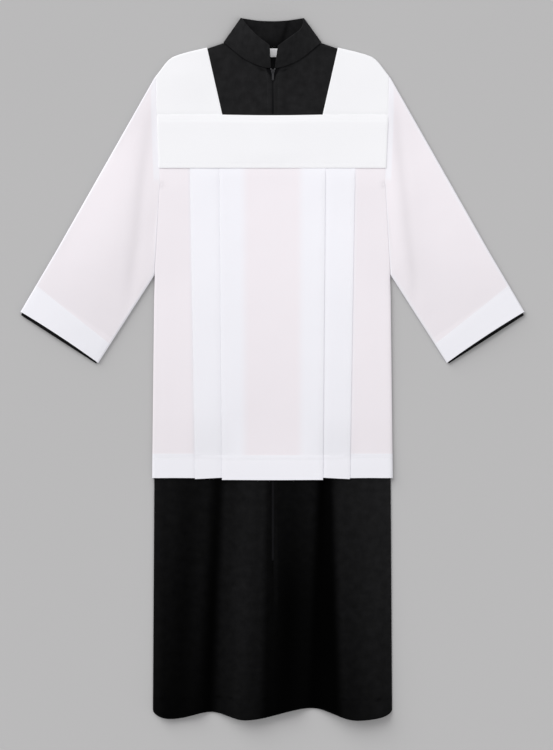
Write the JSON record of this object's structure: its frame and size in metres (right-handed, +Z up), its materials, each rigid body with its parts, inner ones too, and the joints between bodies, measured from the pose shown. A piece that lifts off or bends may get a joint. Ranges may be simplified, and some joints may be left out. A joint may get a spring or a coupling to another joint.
{
  "type": "altar server cassock and surplice",
  "caption": "Child's altar server habit laid flat: black cassock with stand collar and zip front under a white square-necked surplice with a chest band and knife pleats.",
  "frame": {"origin": "on the surface, in the middle of the garment's outline", "axes": "+X right of the picture, +Y towards the collar, +Z up from the surface, with the front of the garment facing up"},
  "size_m": [0.785, 1.0999, 0.0251],
  "materials": {
    "black_cloth": "matt black plain weave, polyester and viscose",
    "white_cloth": "matt white plain weave, polyester and cotton, lightly see-through where single",
    "label": "white woven label, blank",
    "zip_tape": "black woven zip tape",
    "zip_metal": "dark grey painted zinc"
  },
  "bodies": {
    "habit": {"cassock_back": "black_cloth", "cassock_front_left": "black_cloth", "cassock_front_right": "black_cloth", "cassock_sleeve_left": "black_cloth", "cassock_sleeve_right": "black_cloth", "cassock_collar": "black_cloth", "neck_label": "label", "zip_tape": "zip_tape", "zip_slider": "zip_metal", "surplice_back": "white_cloth", "surplice_front": "white_cloth", "surplice_chest_band": "white_cloth", "surplice_shoulder_left": "white_cloth", "surplice_shoulder_right": "white_cloth", "surplice_sleeve_left": "white_cloth", "surplice_sleeve_right": "white_cloth"},
    "pull_tab": {"zip_pull_tab": "zip_metal"}
  },
  "joints": [
    {"name": "pull_tab_hinge", "type": "hinge", "parent": "habit", "child": "pull_tab", "pos_m": [0.00065, 0.4656, 0.00625], "axis": [-1, 0, 0], "range_deg": [0, 160]}
  ]
}
